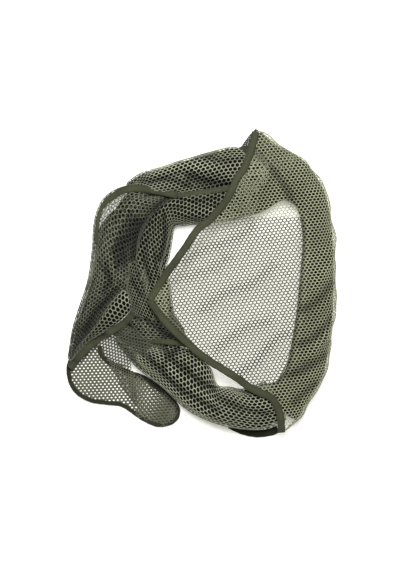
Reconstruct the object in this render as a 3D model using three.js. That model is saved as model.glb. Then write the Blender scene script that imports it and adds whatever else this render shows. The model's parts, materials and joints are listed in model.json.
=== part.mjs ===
// A net neck scarf with taped edges, wound into a ring, knotted at the left and laid on a table.
// One corner of the cloth lies across the ring as a face panel, two short ends leave the knot.
// Millimetres, +Z up, +X to the right and +Y away along the longer side of the ring.
import * as THREE from 'three';

// ---- sizes that can be set one by one ----
const width = 330; // whole object along X
const length = 372; // whole object along Y
const ringHeight = 43; // the rolls that carry the face cloth
const innerRollHeight = 41.5;
const leftLayHeight = 36;
const knotHeight = 43;
const crossLayHeight = 38;
const stripHeightAtKnot = 38;
const stripHeightAtTip = 9;
const faceSag = 8; // how far the face cloth hangs into the ring
const faceRounding = 27; // over this width the face cloth turns down at its outer side
const faceHem = 4; // the face cloth's outer hem above the table
const clothThickness = 2.4; // a lay of net with its crimp and slack
const tapeWidth = 9;
const tapeThickness = 3;
const tailThickness = 3;
const pleatHeight = 8;
const seam = 0.3; // space kept between pieces that touch
const slack = 0.6; // space between the face cloth and the roll it lies on

const faceHeight = ringHeight + tapeThickness / 2 + seam; // middle of the face cloth

// The layout was set out on a 330 by 372 sheet, and follows the two overall sizes.
const layoutWidth = 330;
const layoutLength = 372;
const spot = ([x, y, z = 0]) =>
  new THREE.Vector3((x * width) / layoutWidth, (y * length) / layoutLength, z);
const curve = (points) => new THREE.CatmullRomCurve3(points.map(spot), false, 'catmullrom', 0.5);
const up = new THREE.Vector3(0, 0, 1);
const mix = THREE.MathUtils.lerp;
const clamp = THREE.MathUtils.clamp;

// A point beside a plan curve, to its left as it runs when the distance is positive.
function beside(path, t, distance) {
  const ahead = path.getPoint(Math.min(1, t + 1e-3)).sub(path.getPoint(Math.max(0, t - 1e-3)));
  ahead.z = 0;
  const left = up.clone().cross(ahead.normalize());
  return path.getPoint(t).addScaledVector(left, distance);
}

// ---- the two edges of every lay, point against point along its run ----
const rightOuter = curve([
  [66.6, 170], [95, 159], [119, 141.5], [137, 118], [148, 91], [154, 45], [156, 0],
  [153, -50], [145.5, -93], [127, -131], [111, -152], [98, -166],
]);
const rightInner = curve([
  [50.8, 81], [77, 91], [100, 104], [117, 96], [124, 74], [124.5, 45], [121, 2],
  [116.5, -42], [109, -88], [97, -114], [84, -121], [67.6, -126],
]);
const topOuter = curve([
  [65.4, 168], [40, 166], [12, 161], [-18, 153], [-44, 144], [-68, 134.5], [-92, 121],
]);
const topInner = curve([
  [56.6, 118], [36, 117.6], [10, 115.6], [-12, 112.6], [-38, 112.6], [-60, 116.4], [-90, 119],
]);
const innerOuter = curve([
  [56.4, 117], [30, 116.6], [2, 114], [-23, 109.6], [-45, 99], [-62, 79], [-71, 56],
  [-74.6, 30], [-73, 6], [-66, -17], [-54.5, -29.5],
]);
const innerInner = curve([
  [50, 81.6], [30, 76], [4, 74], [-18, 73], [-31, 71], [-34.5, 58], [-38, 38],
  [-42.5, 20], [-38, 0], [-34, -26], [-29, -44],
]);
const leftOuter = curve([
  [-46, 112.6], [-66, 115.4], [-92, 117.6], [-115, 103], [-125, 77], [-128.5, 45],
  [-134, 12], [-142, -12], [-149, -33], [-156, -57], [-159.6, -79],
]);
const leftInner = curve([
  [-40, 103.6], [-54, 90], [-65, 75], [-73, 58], [-77, 38], [-81, 18], [-91, -1.5],
]);
const stripFold = curve([[-91, -1.5], [-110, -20], [-121.5, -38], [-134.5, -58], [-148.5, -75.5]]);
const knotLeft = curve([[-78.6, 13], [-85.5, 4], [-87.9, -4.6], [-80.8, -19]]);
const diagonal = curve([
  [-75.5, -27.5, 18], [-88.8, -43.8, 14], [-103.2, -54, 11], [-123.6, -66, 8],
  [-138, -78.6, 6], [-157.5, -99.5, 4],
]);
const crossUpper = curve([[-27.6, -46], [-54, -31.6], [-70.6, -33.6], [-84.6, -49.6]]);
const crossEdge = curve([
  [-15.5, -69.5, 20], [-48, -67.6, 19], [-75, -66.6, 18], [-97, -63.4, 15],
]);
const lowerOuter = curve([
  [97.5, -166.4], [72, -174], [48, -173], [20, -168], [-8, -157], [-25, -140.5],
  [-47, -112.6], [-76, -95], [-97, -81],
]);
const lowerInner = curve([
  [67.1, -126.4], [50, -127], [36, -122.5], [21, -119], [13, -99], [-5, -82],
]);
const underInner = curve([[46, -166.2], [60, -166.9], [76, -166.8], [87, -164.4]]);
const underEdge = curve([
  [38, -172], [51, -177.6], [63, -180.8], [75.5, -181.2], [87, -179.4], [93, -176.2],
]);

// ---- the tail: a taped edge that runs round two soft corners, and a pleat across it ----
const tailEdge = curve([
  [-160, -102.7], [-158.5, -117], [-152, -128.5], [-143, -136], [-129, -141.7], [-112, -143.8],
  [-94, -146.8], [-79.5, -156.5], [-66.5, -164.7], [-56, -169.5], [-47.5, -170.7],
  [-37, -168.6], [-30, -163], [-27.5, -156.5], [-28.3, -149.5], [-33.5, -142], [-43.5, -132],
  [-54, -123.2], [-65, -115.7], [-76, -110.6], [-87, -107.5], [-98.3, -101.2],
  [-110.3, -94.2], [-119.4, -87], [-123.7, -76.8],
]);
const tailCorners = 24; // stretches between the points of the tail's edge
const tailRoot = curve([
  [-153, -103.5], [-141, -91], [-130.6, -81.5], [-126.4, -90], [-114.6, -99], [-103, -105.6],
]);
const pleatLeft = curve([[-101.9, -106.8], [-96.2, -124], [-88.6, -143.2]]);
const pleatRight = curve([[-89.2, -112.8], [-84, -125], [-75.2, -149.2]]);

// ---- the face cloth: its taped edge on the left, its rounded side on the right ----
const faceCorner = [-60, -18];
const faceUpper = curve([
  [66, 181], [62.4, 165.6], [54, 141.6], [43.2, 124.8], [33, 103], [12, 78], [-3, 66],
  [-20, 41], [-38, 16], faceCorner, [-62.6, -22.2],
]);
const faceLower = curve([
  faceCorner, [-39, -46], [-18, -66], [7.2, -87.6], [37.2, -106.2], [62.4, -123.6],
  [85, -134.5], [95, -153.6], [98, -173],
]);
const upperMitre = 0.885; // share of the upper edge before the corner's two tapes meet
const faceSide = curve([
  [74, 183.4], [98.4, 168], [115.2, 158.4], [139.2, 137.4], [154, 112], [161, 76], [164.4, 40],
  [165.2, 0], [161.6, -54], [156, -91.2], [141.6, -127.2], [121.8, -159.6], [106, -172.4],
]);
const sideRun = faceSide.getPoints(400);
// The face cloth folds back along a straight line from its peak to its foot.
const [foldTop, foldEnd] = [spot([71.6, 184]), spot([103.8, -176])];
const foldX = (y) => mix(foldTop.x, foldEnd.x, (foldTop.y - y) / (foldTop.y - foldEnd.y));
const halfCloth = clothThickness / 2;

// Where the outer side of the face cloth stands at a given distance along the ring.
function sideX(y) {
  const after = sideRun.findIndex((p) => p.y < y);
  if (after < 1) return sideRun[after === 0 ? 0 : sideRun.length - 1].x;
  const [a, b] = [sideRun[after - 1], sideRun[after]];
  return mix(a.x, b.x, (a.y - y) / (a.y - b.y));
}

// Height of the middle of the face cloth: flat on the rolls, hanging into the ring, and rounded
// down to its hem along the outer side.
function faceZ(x, y) {
  const ringX = spot([30, 0]).x;
  const open = 1 - ((x - ringX) / (0.25 * width)) ** 2 - (y / (0.29 * length)) ** 2;
  const hang = faceSag * THREE.MathUtils.smoothstep(open, 0, 1);
  const reach = sideX(y) - halfCloth - x;
  const round = Math.max(2, Math.min(faceRounding, sideX(y) - foldX(y) - halfCloth));
  const turn = 1 - clamp(reach / round, 0, 1);
  return faceHem + (faceHeight - faceHem) * Math.sqrt(Math.max(0, 1 - turn * turn)) - hang;
}

// ---- solids ----
function material(colour, roughness) {
  return new THREE.MeshStandardMaterial({ color: colour, roughness, metalness: 0 });
}
const clothLit = material(0x7f8568, 0.92);
const clothDeep = material(0x5b6048, 0.94);
const clothLight = material(0x9a9e80, 0.9);
const tape = material(0x4c5038, 0.85);
const tapeDark = material(0x33361f, 0.88);

const scarf = new THREE.Group();
scarf.name = 'net_scarf';
function add(name, geometry, skin) {
  geometry.computeVertexNormals();
  const mesh = new THREE.Mesh(geometry, skin);
  mesh.name = name;
  scarf.add(mesh);
}

// Six times the volume inside a closed shape: negative when its faces point inwards.
function signedVolume(geometry) {
  const at = geometry.attributes.position;
  const corner = (k) => new THREE.Vector3().fromBufferAttribute(at, geometry.index.getX(k));
  let sum = 0;
  for (let k = 0; k < geometry.index.count; k += 3) {
    sum += corner(k).dot(corner(k + 1).cross(corner(k + 2)));
  }
  return sum;
}

// Moves every corner of a plain shape to where place() puts it, and turns its faces outwards.
function reshape(geometry, place) {
  const at = geometry.attributes.position;
  const p = new THREE.Vector3();
  for (let i = 0; i < at.count; i += 1) {
    p.copy(place(p.fromBufferAttribute(at, i)));
    at.setXYZ(i, p.x, p.y, p.z);
  }
  if (signedVolume(geometry) < 0) {
    const corners = Array.from(geometry.index.array);
    for (let k = 0; k < corners.length; k += 3) {
      [corners[k], corners[k + 1]] = [corners[k + 1], corners[k]];
    }
    geometry.setIndex(corners);
  }
  return geometry;
}

// A point on the skin of a roll that lies between two edges: angle 0 is the first edge,
// a quarter turn its crown, a half turn the second edge. The underside is flat on the table.
const middleShare = 0.46;
function skinPoint(roll, t, angle, out = 0) {
  const [a, b] = [roll.first(t), roll.second(t)];
  const across = b.clone().sub(a).setZ(0);
  const half = across.length() / 2;
  const high = roll.height(t);
  const p = a.clone().add(b).multiplyScalar(0.5);
  p.addScaledVector(across.normalize(), -Math.cos(angle) * (half + out));
  p.z = high * middleShare + (high * (1 - middleShare) + out) * Math.sin(angle);
  if (roll.roof) p.z = Math.min(p.z, roll.roof(p.x, p.y));
  p.z = Math.max(0, p.z);
  return p;
}

// A closed roll: a cylinder's side carries the skin, its ends the cut faces.
function rollSolid(roll, steps, sides) {
  const plain = new THREE.CylinderGeometry(1, 1, 1, sides, steps);
  return reshape(plain, (v) => {
    const t = 0.5 - v.y;
    if (v.x * v.x + v.z * v.z < 0.25) {
      const p = roll.first(t).add(roll.second(t)).multiplyScalar(0.5);
      p.z = roll.height(t) * middleShare;
      return p;
    }
    return skinPoint(roll, t, Math.atan2(v.z, -v.x));
  });
}

// A closed sheet of even thickness about a surface, with its two faces along the normals.
function sheetSolid(surface, along, across, thickness) {
  const plain = new THREE.BoxGeometry(1, 1, 1, along, across, 1);
  const d = 1e-3;
  const sheet = reshape(plain, (v) => {
    const [u, w] = [v.x + 0.5, v.y + 0.5];
    const du = surface(Math.min(1, u + d), w).sub(surface(Math.max(0, u - d), w));
    const dw = surface(u, Math.min(1, w + d)).sub(surface(u, Math.max(0, w - d)));
    const normal = du.cross(dw).normalize();
    return surface(u, w).addScaledVector(normal, v.z * thickness);
  });
  return sheet;
}

// A length of tape along a curve: its middle follows the curve and it stays level across.
function tapeSolid(path, steps, middle = (t) => path.getPoint(t).z, thickness = tapeThickness) {
  const plain = new THREE.BoxGeometry(1, 1, 1, steps, 1, 1);
  return reshape(plain, (v) => {
    const t = v.x + 0.5;
    const p = beside(path, t, v.y * tapeWidth);
    p.z = middle(t, p) + v.z * thickness;
    return p;
  });
}

// A length of tape laid on the skin of a roll, from one distance to another off its first edge.
function tapeOnRoll(roll, start, end, near, far, steps) {
  const surface = (u, w) => {
    const t = mix(start, end, u);
    const half = roll.second(t).distanceTo(roll.first(t)) / 2;
    const angle = Math.acos(clamp(1 - mix(near, far, w) / half, -1, 1));
    return skinPoint(roll, t, angle, seam + bendRoom + halfCloth);
  };
  return sheetSolid((u, w) => surface(1 - u, w), steps, 4, clothThickness);
}

const plan = (path) => (t) => path.getPoint(t);
const even = (high) => () => high;
const halfTape = tapeWidth / 2 + seam;
const cornerReach = 1.4199355; // from the corner to the lower tape's end, in half widths of tape
const lowerMitre = (() => { // share of the lower edge at that reach
  let [near, far] = [0, 0.12];
  for (let i = 0; i < 40; i += 1) {
    const middle = (near + far) / 2;
    if (faceLower.getPoint(middle).distanceTo(faceLower.getPoint(0)) < cornerReach * halfTape) {
      near = middle;
    } else {
      far = middle;
    }
  }
  return near;
})();
const bendRoom = 0.3; // more room where a curved tape meets a curved lay

// ---- the ring: four rolls, the left lay and what the knot holds ----
const rightRoll = {
  first: plan(rightOuter),
  second: plan(rightInner),
  height: even(ringHeight),
  roof: (x, y) => faceZ(x, y) - halfCloth - slack,
};
add('right_roll', rollSolid(rightRoll, 30, 16), clothDeep);

const topRoll = {
  first: plan(topOuter),
  second: plan(topInner),
  height: (t) => ringHeight * (1 - 0.5 * THREE.MathUtils.smoothstep(t, 0.75, 1)),
};
add('top_roll', rollSolid(topRoll, 18, 16), clothLit);

const innerRoll = {
  first: plan(innerOuter),
  second: plan(innerInner),
  height: even(innerRollHeight),
};
add('inner_roll', rollSolid(innerRoll, 28, 16), clothLit);

const leftTurn = 0.6; // share of the left lay's run before it borders the knotted strip
const leftLay = {
  first: plan(leftOuter),
  second: (t) => (t < leftTurn
    ? leftInner.getPoint(t / leftTurn)
    : beside(stripFold, (t - leftTurn) / (1 - leftTurn), -seam)),
  height: (t) => leftLayHeight * (1 - 0.75 * THREE.MathUtils.smoothstep(t, 0.55, 1)),
};
add('left_lay', rollSolid(leftLay, 28, 16), clothDeep);

const lowerRoll = {
  first: plan(lowerOuter),
  second: (t) => {
    const turn = 0.62; // share of the run that borders the opening, the rest borders the tape
    if (t < turn) return lowerInner.getPoint(t / turn);
    const u = (t - turn) / (1 - turn);
    return beside(crossEdge, u * 0.96, halfTape).setZ(0);
  },
  height: (t) => ringHeight * (1 - 0.25 * THREE.MathUtils.smoothstep(t, 0.6, 1)),
};
add('lower_roll', rollSolid(lowerRoll, 26, 16), clothLit);

const crossLay = {
  first: plan(crossUpper),
  second: (t) => beside(crossEdge, t * 0.86, -halfTape).setZ(0),
  height: even(crossLayHeight),
};
add('cross_lay', rollSolid(crossLay, 10, 12), clothDeep);

const knot = {
  first: (t) => beside(innerOuter, mix(0.765, 0.895, t), -2 * seam),
  second: plan(knotLeft),
  height: even(knotHeight),
};
add('knot', rollSolid(knot, 8, 12), clothLit);

const strip = {
  first: (t) => beside(diagonal, t * 0.84, -halfTape).setZ(0),
  second: (t) => beside(stripFold, t, seam),
  height: (t) => mix(stripHeightAtKnot, stripHeightAtTip, Math.sqrt(t)),
};
add('knot_strip', rollSolid(strip, 14, 12), clothLight);

// ---- the face cloth: the panel left of the fold line and the side right of it ----
const faceEdge = (u) => (u < 0.5
  ? beside(faceUpper, mix(0.06, upperMitre, u * 2), halfTape + bendRoom)
  : beside(faceLower, mix(lowerMitre, 0.86, u * 2 - 1), halfTape + bendRoom));
const panelSurface = (u, w) => {
  const y = mix(foldTop.y - 13, foldEnd.y + 27, u);
  const p = faceEdge(u).lerp(new THREE.Vector3(foldX(y) - seam, y, 0), w);
  p.z = faceZ(p.x, p.y);
  return p;
};
add('face_panel', sheetSolid(panelSurface, 44, 12, clothThickness), clothLight);

const sideSurface = (u, w) => {
  const y = mix(foldTop.y - 6, foldEnd.y + 8, u);
  const [a, b] = [foldX(y) + seam, sideX(y) - halfCloth];
  const x = mix(a, b, 1 - (1 - w) ** 2);
  return new THREE.Vector3(x, y, faceZ(x, y));
};
add('face_side', sheetSolid(sideSurface, 36, 14, clothThickness), clothLit);

// The turned-under side of the face cloth, standing behind the top roll below its peak.
const peakFoot = curve([[47, 168.6, 3], [56, 172, 3], [68, 176.4, 3]]);
const peakRim = curve([[48.4, 168.3, 22], [57, 175, 34], [66, 183.6, ringHeight - 1]]);
const peakSurface = (u, w) => peakFoot.getPoint(u).lerp(peakRim.getPoint(u), w);
add('peak_fold', sheetSolid(peakSurface, 8, 6, clothThickness), clothDeep);

// ---- the tail and the lay under the lower roll, flat on the table ----
const tailSide = (corner) => beside(tailEdge, corner / tailCorners, halfTape).setZ(0);
const flatBetween = (first, second) => (u, w) => {
  const p = first(u).lerp(second(u), w);
  p.z = tailThickness / 2;
  return p;
};
const tailEndSurface = flatBetween((u) => tailSide(mix(0.7, 6.1, u)), plan(tailRoot));
add('tail_end', sheetSolid(tailEndSurface, 22, 6, tailThickness), clothLight);
const tailLobeSurface = flatBetween(
  (u) => tailSide(mix(7.5, 12.2, u)),
  (u) => tailSide(mix(20, 13.4, u)),
);
add('tail_lobe', sheetSolid(tailLobeSurface, 20, 6, tailThickness), clothLight);
const pleat = { first: plan(pleatLeft), second: plan(pleatRight), height: even(pleatHeight) };
add('tail_pleat', rollSolid(pleat, 8, 10), clothDeep);
const underSurface = flatBetween(plan(underInner), (u) => (
  beside(underEdge, mix(0.1, 0.93, u), halfTape).setZ(0)));
add('under_lay', sheetSolid(underSurface, 10, 3, tailThickness), clothDeep);

// ---- tapes ----
const faceTapeZ = (t, p) => faceZ(Math.min(p.x, foldX(p.y)), p.y);
const onTable = () => tapeThickness / 2;
const piece = (path, start, end) => {
  const part = new THREE.Curve();
  part.getPoint = (t) => path.getPoint(mix(start, end, clamp(t, 0, 1)));
  return part;
};
add('tape_face_upper', tapeSolid(faceUpper, 36, faceTapeZ), tape);
add('tape_face_lower', tapeSolid(piece(faceLower, lowerMitre, 1), 34, faceTapeZ), tape);
add('tape_left_lay', tapeOnRoll(leftLay, 0.07, 0.5, 3, 11, 28), tape);
add('tape_crease', tapeOnRoll(innerRoll, 0.02, 0.34, 3, 9, 16), tape);
add('tape_diagonal', tapeSolid(diagonal, 20), tape);
add('tape_cross', tapeSolid(crossEdge, 12), tape);
const stub = 1.1 / tailCorners; // the corner of the tail's tape that stays on the table
const cut = 0.1 / tailCorners;
add('tape_tail_corner', tapeSolid(piece(tailEdge, 0, stub), 6, onTable), tapeDark);
add('tape_tail', tapeSolid(piece(tailEdge, stub + cut, 1), 68, onTable), tapeDark);
add('tape_under', tapeSolid(underEdge, 14, onTable), tapeDark);

export default scarf;
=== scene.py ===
"""Net scarf wound into a knotted ring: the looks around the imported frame.

Lengths in this file are millimetres until a mesh is made, which turns them into metres.
"""
import json
import math

import bpy
import numpy as np
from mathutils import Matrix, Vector

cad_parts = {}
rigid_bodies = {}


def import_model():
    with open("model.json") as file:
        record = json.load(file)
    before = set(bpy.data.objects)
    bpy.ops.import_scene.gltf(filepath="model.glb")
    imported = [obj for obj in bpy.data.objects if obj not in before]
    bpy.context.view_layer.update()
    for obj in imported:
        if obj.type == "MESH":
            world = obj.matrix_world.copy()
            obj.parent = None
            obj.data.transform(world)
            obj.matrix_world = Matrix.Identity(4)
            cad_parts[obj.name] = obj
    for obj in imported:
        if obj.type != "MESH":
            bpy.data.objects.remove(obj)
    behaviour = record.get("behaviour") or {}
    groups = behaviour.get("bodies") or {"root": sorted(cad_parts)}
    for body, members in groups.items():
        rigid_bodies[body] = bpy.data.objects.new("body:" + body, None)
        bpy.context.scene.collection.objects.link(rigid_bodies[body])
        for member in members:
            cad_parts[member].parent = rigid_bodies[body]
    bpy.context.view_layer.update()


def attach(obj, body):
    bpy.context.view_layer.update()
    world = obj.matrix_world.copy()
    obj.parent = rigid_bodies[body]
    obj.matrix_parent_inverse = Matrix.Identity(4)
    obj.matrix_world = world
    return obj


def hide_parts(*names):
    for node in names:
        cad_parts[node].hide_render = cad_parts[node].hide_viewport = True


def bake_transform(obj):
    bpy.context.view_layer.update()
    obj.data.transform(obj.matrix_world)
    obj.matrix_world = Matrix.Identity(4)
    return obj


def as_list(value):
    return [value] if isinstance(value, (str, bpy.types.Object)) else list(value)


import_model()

MM = 0.001
PITCH_ROW = 4.75  # hole to hole along a row of the net
PITCH_ROWS = 3.3  # row to row
HOLE_SHARE = 0.67  # width of a hole as a share of its cell
YARN = 0.36  # half the thickness of the net
TAPE = 9.0  # width of the folded tape
RING = 43.0  # height of the rolls that carry the face cloth
FACE_Z = RING + 1.8  # height of the face cloth on the rolls
FACE_SAG = 8.0  # how far it hangs into the opening
ROUNDING = 27.0  # width over which the face cloth turns down
ROLL_ROW, ROLL_ROWS = 5.4, 3.75  # the net is drawn wider on the rolls
TABLE_GAP = 0.9  # lowest height of a roll's surface
PACK_DEPTH = 1.6  # from a roll's net in to its packed inside
SECTION_MID, SECTION_HALF = 0.46, 0.54  # a roll's middle and half height, as shares of its height
FLOOR_SIZE = 3.0  # half the floor's side, in metres


# ---- curves ----
def spline(points):
    """Smooth curve through points: the same share of the run lies between each pair."""
    p = np.array(points, float)
    p = np.vstack([2 * p[0] - p[1], p, 2 * p[-1] - p[-2]])
    n = len(points) - 1

    def at(t):
        t = np.atleast_1d(np.asarray(t, float))
        i = np.clip((t * n).astype(int), 0, n - 1)
        w = (t * n - i)[:, None]
        a, b, c, d = p[i], p[i + 1], p[i + 2], p[i + 3]
        m0, m1 = (c - a) / 2, (d - b) / 2
        return ((2 * w**3 - 3 * w**2 + 1) * b + (w**3 - 2 * w**2 + w) * m0
                + (-2 * w**3 + 3 * w**2) * c + (w**3 - w**2) * m1)

    return at


def length_map(curve, lo=0.0, hi=1.0, steps=400):
    """(whole length, function from length along the curve to its run share)."""
    t = np.linspace(lo, hi, steps)
    p = curve(t)
    s = np.concatenate([[0], np.cumsum(np.linalg.norm(np.diff(p, axis=0), axis=1))])
    return s[-1], lambda x: np.interp(x, s, t)


def beside(curve, d):
    """The curve moved sideways: d (a length, or a function of the run share) to its left."""
    def at(t):
        t = np.atleast_1d(np.asarray(t, float))
        ahead = curve(np.minimum(t + 0.004, 1)) - curve(np.maximum(t - 0.004, 0))
        ahead /= np.linalg.norm(ahead, axis=1)[:, None]
        far = d(t)[:, None] if callable(d) else d
        return curve(t) + np.stack([-ahead[:, 1], ahead[:, 0]], 1) * far
    return at


def smooth(x, lo, hi):
    w = np.clip((x - lo) / (hi - lo), 0, 1)
    return w * w * (3 - 2 * w)


def bump(x, middle, reach):
    return np.exp(-(((x - middle) / reach) ** 2))


def wavy(u, v, waves):
    """Sum of slow waves: each is (size, cycles per mm along u, along v, start)."""
    return sum(a * np.sin(2 * math.pi * (fu * u + fv * v) + s) for a, fu, fv, s in waves)


class Relief:
    """Folds raised (or sunk) along plan curves: each mark is (points, height, reach), and its
    height falls off on both sides as a bell of that reach."""

    def __init__(self, *marks):
        self.marks = [(spline(points)(np.linspace(0, 1, 40)), height, reach)
                      for points, height, reach in marks]

    def __call__(self, x, y):
        rise = np.zeros(len(x))
        for run, height, reach in self.marks:
            near = ((x > run[:, 0].min() - 3 * reach) & (x < run[:, 0].max() + 3 * reach)
                    & (y > run[:, 1].min() - 3 * reach) & (y < run[:, 1].max() + 3 * reach))
            d2 = ((x[near, None] - run[None, :, 0]) ** 2
                  + (y[near, None] - run[None, :, 1]) ** 2).min(1)
            rise[near] += height * np.exp(-d2 / reach**2)
        return rise


right_outer = spline([
    (66.6, 170), (95, 159), (119, 141.5), (137, 118), (148, 91), (154, 45), (156, 0),
    (153, -50), (145.5, -93), (127, -131), (111, -152), (98, -166)])
right_inner = spline([
    (50.8, 81), (77, 91), (100, 104), (117, 96), (124, 74), (124.5, 45), (121, 2),
    (116.5, -42), (109, -88), (97, -114), (84, -121), (67.6, -126)])
top_outer = spline([
    (92, 164), (40, 166), (12, 161), (-18, 153), (-44, 144), (-69, 134.5), (-92, 121)])
top_inner = spline([
    (80, 106), (36, 113), (10, 111), (-12, 109), (-38, 106), (-60, 106), (-86, 106)])
inner_outer = spline([
    (76, 113), (58, 117.5), (30, 116.6), (2, 114), (-23, 109.6), (-45, 99), (-62, 79), (-71, 56),
    (-74.6, 30), (-73, 6), (-66, -17), (-54.5, -30)])
inner_inner = spline([
    (68, 85), (51, 81.6), (30, 76), (4, 74), (-18, 73), (-31, 71), (-34.5, 58), (-38, 38),
    (-42.5, 20), (-38, 0), (-34, -26), (-29, -45)])
left_outer = spline([
    (-42, 110.6), (-66, 116.4), (-92, 118.6), (-115.5, 104), (-126, 77), (-128.5, 45),
    (-134, 12), (-142, -12), (-149, -33), (-156, -57), (-161.5, -95)])
left_inner = spline([
    (-34, 106), (-52, 91), (-64, 76), (-72, 58), (-76, 38), (-80, 18), (-90, 0),
    (-108, -17), (-121, -37), (-134, -58), (-152, -80)])
strip_left = spline([
    (-89, 0), (-110, -20), (-121.5, -38), (-134.5, -58), (-150, -77), (-159, -94)])
diagonal = spline([
    (-75.5, -27.5), (-88.8, -43.8), (-103.2, -54), (-123.6, -66), (-138, -78.6),
    (-158.5, -101)])
cross_edge = spline([(-13, -71), (-48, -67.6), (-75, -66.6), (-97, -62.4)])
lower_outer = spline([
    (108, -160), (76, -173), (48, -173), (20, -168), (-6, -157), (-26, -142),
    (-48, -121), (-76, -98), (-103, -68)])
lower_inner = spline([
    (84, -116), (54, -126), (36, -122.5), (21, -119), (13, -99), (-4, -82),
    (-30, -72.6), (-64, -70), (-103, -62)])
under_edge = spline([
    (36, -171), (51, -177.6), (63, -180.8), (75.5, -181.2), (87, -179.4), (95, -175.6)])
face_upper = spline([
    (66, 182), (62.4, 165.6), (54, 141.6), (43.2, 124.8), (33, 103), (12, 78), (-3, 66),
    (-20, 41), (-38, 16), (-60, -18)])
face_lower = spline([
    (-60, -18), (-39, -46), (-18, -66), (7.2, -87.6), (37.2, -106.2), (62.4, -123.6),
    (85, -134.5), (95, -153.6), (97.6, -177)])
face_side = spline([
    (67, 185), (80, 181), (98.4, 168), (115.2, 158.4), (128.6, 148.8), (139.2, 137.4),
    (148.8, 122.4), (156, 105.6), (161, 76), (164.4, 40), (165.2, 0), (161.6, -54),
    (156, -91.2), (151, -110.4), (141.6, -127.2), (129.6, -145.8), (121.8, -159.6),
    (101, -176.5)])
tail_edge = spline([
    (-158.5, -92), (-160.5, -102), (-158.5, -117), (-152, -128.5), (-143, -136), (-129, -141.7),
    (-112, -143.8), (-94, -146.8), (-79.5, -156.5), (-66.5, -164.7), (-56, -169.5),
    (-47.5, -170.7), (-37, -168.6), (-30, -163), (-27.5, -156.5), (-28.3, -149.5),
    (-33.5, -142), (-43.5, -132), (-54, -123.2), (-65, -115.7), (-76, -110.6),
    (-87, -107.5), (-98.3, -101.2), (-110.3, -94.2), (-119.4, -86), (-122.5, -75)])

# ---- the face cloth's height ----
side_run = face_side(np.linspace(0, 1, 600))
side_y, side_x = side_run[::-1, 1], side_run[::-1, 0]
fold_top, fold_end = np.array([71.6, 184.0]), np.array([103.8, -176.0])


def fold_x(y):
    return fold_top[0] + (fold_end[0] - fold_top[0]) * (fold_top[1] - y) / 360.0


def face_hang(x, y):
    """How far the cloth hangs into the ring: deepest in the middle of the opening."""
    open_ = 1 - ((x - 30) / 82.5) ** 2 - (y / 107.9) ** 2
    return FACE_SAG * smooth(open_, 0, 1)


face_folds = Relief(
    ([(64, 160), (84, 140), (103, 113), (110, 96)], -3.5, 4.5),
    ([(72, 168), (96, 148), (115, 127), (128, 104)], 2.2, 6),
    ([(126, -14), (140, 4), (158, 26)], 2.4, 4), ([(120, -30), (138, -20), (160, 4)], -3.0, 4.5),
    ([(124, -52), (140, -34), (160, -16)], 2.2, 4),
    ([(118, -70), (136, -62), (158, -40)], -3.2, 4.5),
    ([(116, -90), (132, -80), (152, -62)], 2.6, 4),
    ([(104, -108), (124, -100), (150, -84)], -3.0, 4.5),
    ([(96, -140), (112, -120), (134, -106)], 2.4, 4),
    ([(112, -140), (124, -128), (138, -118)], -3, 4))


def face_run(q):
    """Where the cloth starts to turn down at q, over what width and height, and its length."""
    edge = np.interp(q, side_y, side_x) - 0.6
    round_ = np.clip(edge - fold_x(q) - 2, 3, ROUNDING)
    tall = (FACE_Z - 24.4) * smooth(q, 190, 150) * smooth(q, -182, -150) + 6
    return edge - round_, round_, tall, 0.5 * math.pi * np.sqrt((round_**2 + tall**2) / 2)


def face_place(p, q):
    """Cloth place (p across, q along the ring) to space: level over the rolls, hanging a
    little in the opening, then round the outer side on an ellipse and in below it."""
    start, round_, tall, arc = face_run(q)
    over = np.clip((p - start) / arc, 0, 1.45)
    turn = over * math.pi / 2
    x = np.where(p > start, start + round_ * np.sin(turn), p)
    z = FACE_Z - face_hang(x, q) - tall * (1 - np.cos(turn)) - 12 * smooth(-q, 158, 178)
    crease = smooth(p, 60, 110)
    z = z + (1 - 0.7 * crease) * wavy(p, q, [(1.5, 0.007, -0.017, 0.4), (0.8, 0.011, -0.024, 2.0),
                                             (0.7, -0.014, 0.006, 0.9)])
    pleats = wavy(p, q, [(1.3, 0.016, -0.013, 1.0), (0.8, 0.026, -0.022, 0.2),
                         (0.5, 0.012, 0.031, 2.2)]) + face_folds(p, q)
    out = crease * pleats * smooth(z, 2, 14)
    out = np.maximum(out, -1.2) - 0.3
    x = x + np.where(over > 0, np.sin(turn), 0) * out
    z = z + np.where(over > 0, np.cos(np.minimum(turn, 1.5)), 1) * out
    return np.stack([x, q, np.maximum(z, 1.2)], 1)


# ---- meshes ----
def object_of(name, verts, faces, uv=None):
    """Mesh from millimetre points; uv is one pair per corner point, kept in metres."""
    mesh = bpy.data.meshes.new(name)
    mesh.from_pydata((np.asarray(verts) * MM).tolist(), [], faces if isinstance(faces, list)
                     else faces.tolist())
    mesh.validate()
    mesh.shade_smooth()
    if uv is not None:
        layer = mesh.uv_layers.new(name="cloth")
        loops = np.empty(len(mesh.loops), int)
        mesh.loops.foreach_get("vertex_index", loops)
        layer.data.foreach_set("uv", (np.asarray(uv)[loops] * MM).ravel())
    made = bpy.data.objects.new(name, mesh)
    bpy.context.scene.collection.objects.link(made)
    return made


CORNERS = np.array([(1, 1), (0, 2), (-1, 1), (-1, -1), (0, -2), (1, -1)])


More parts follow.
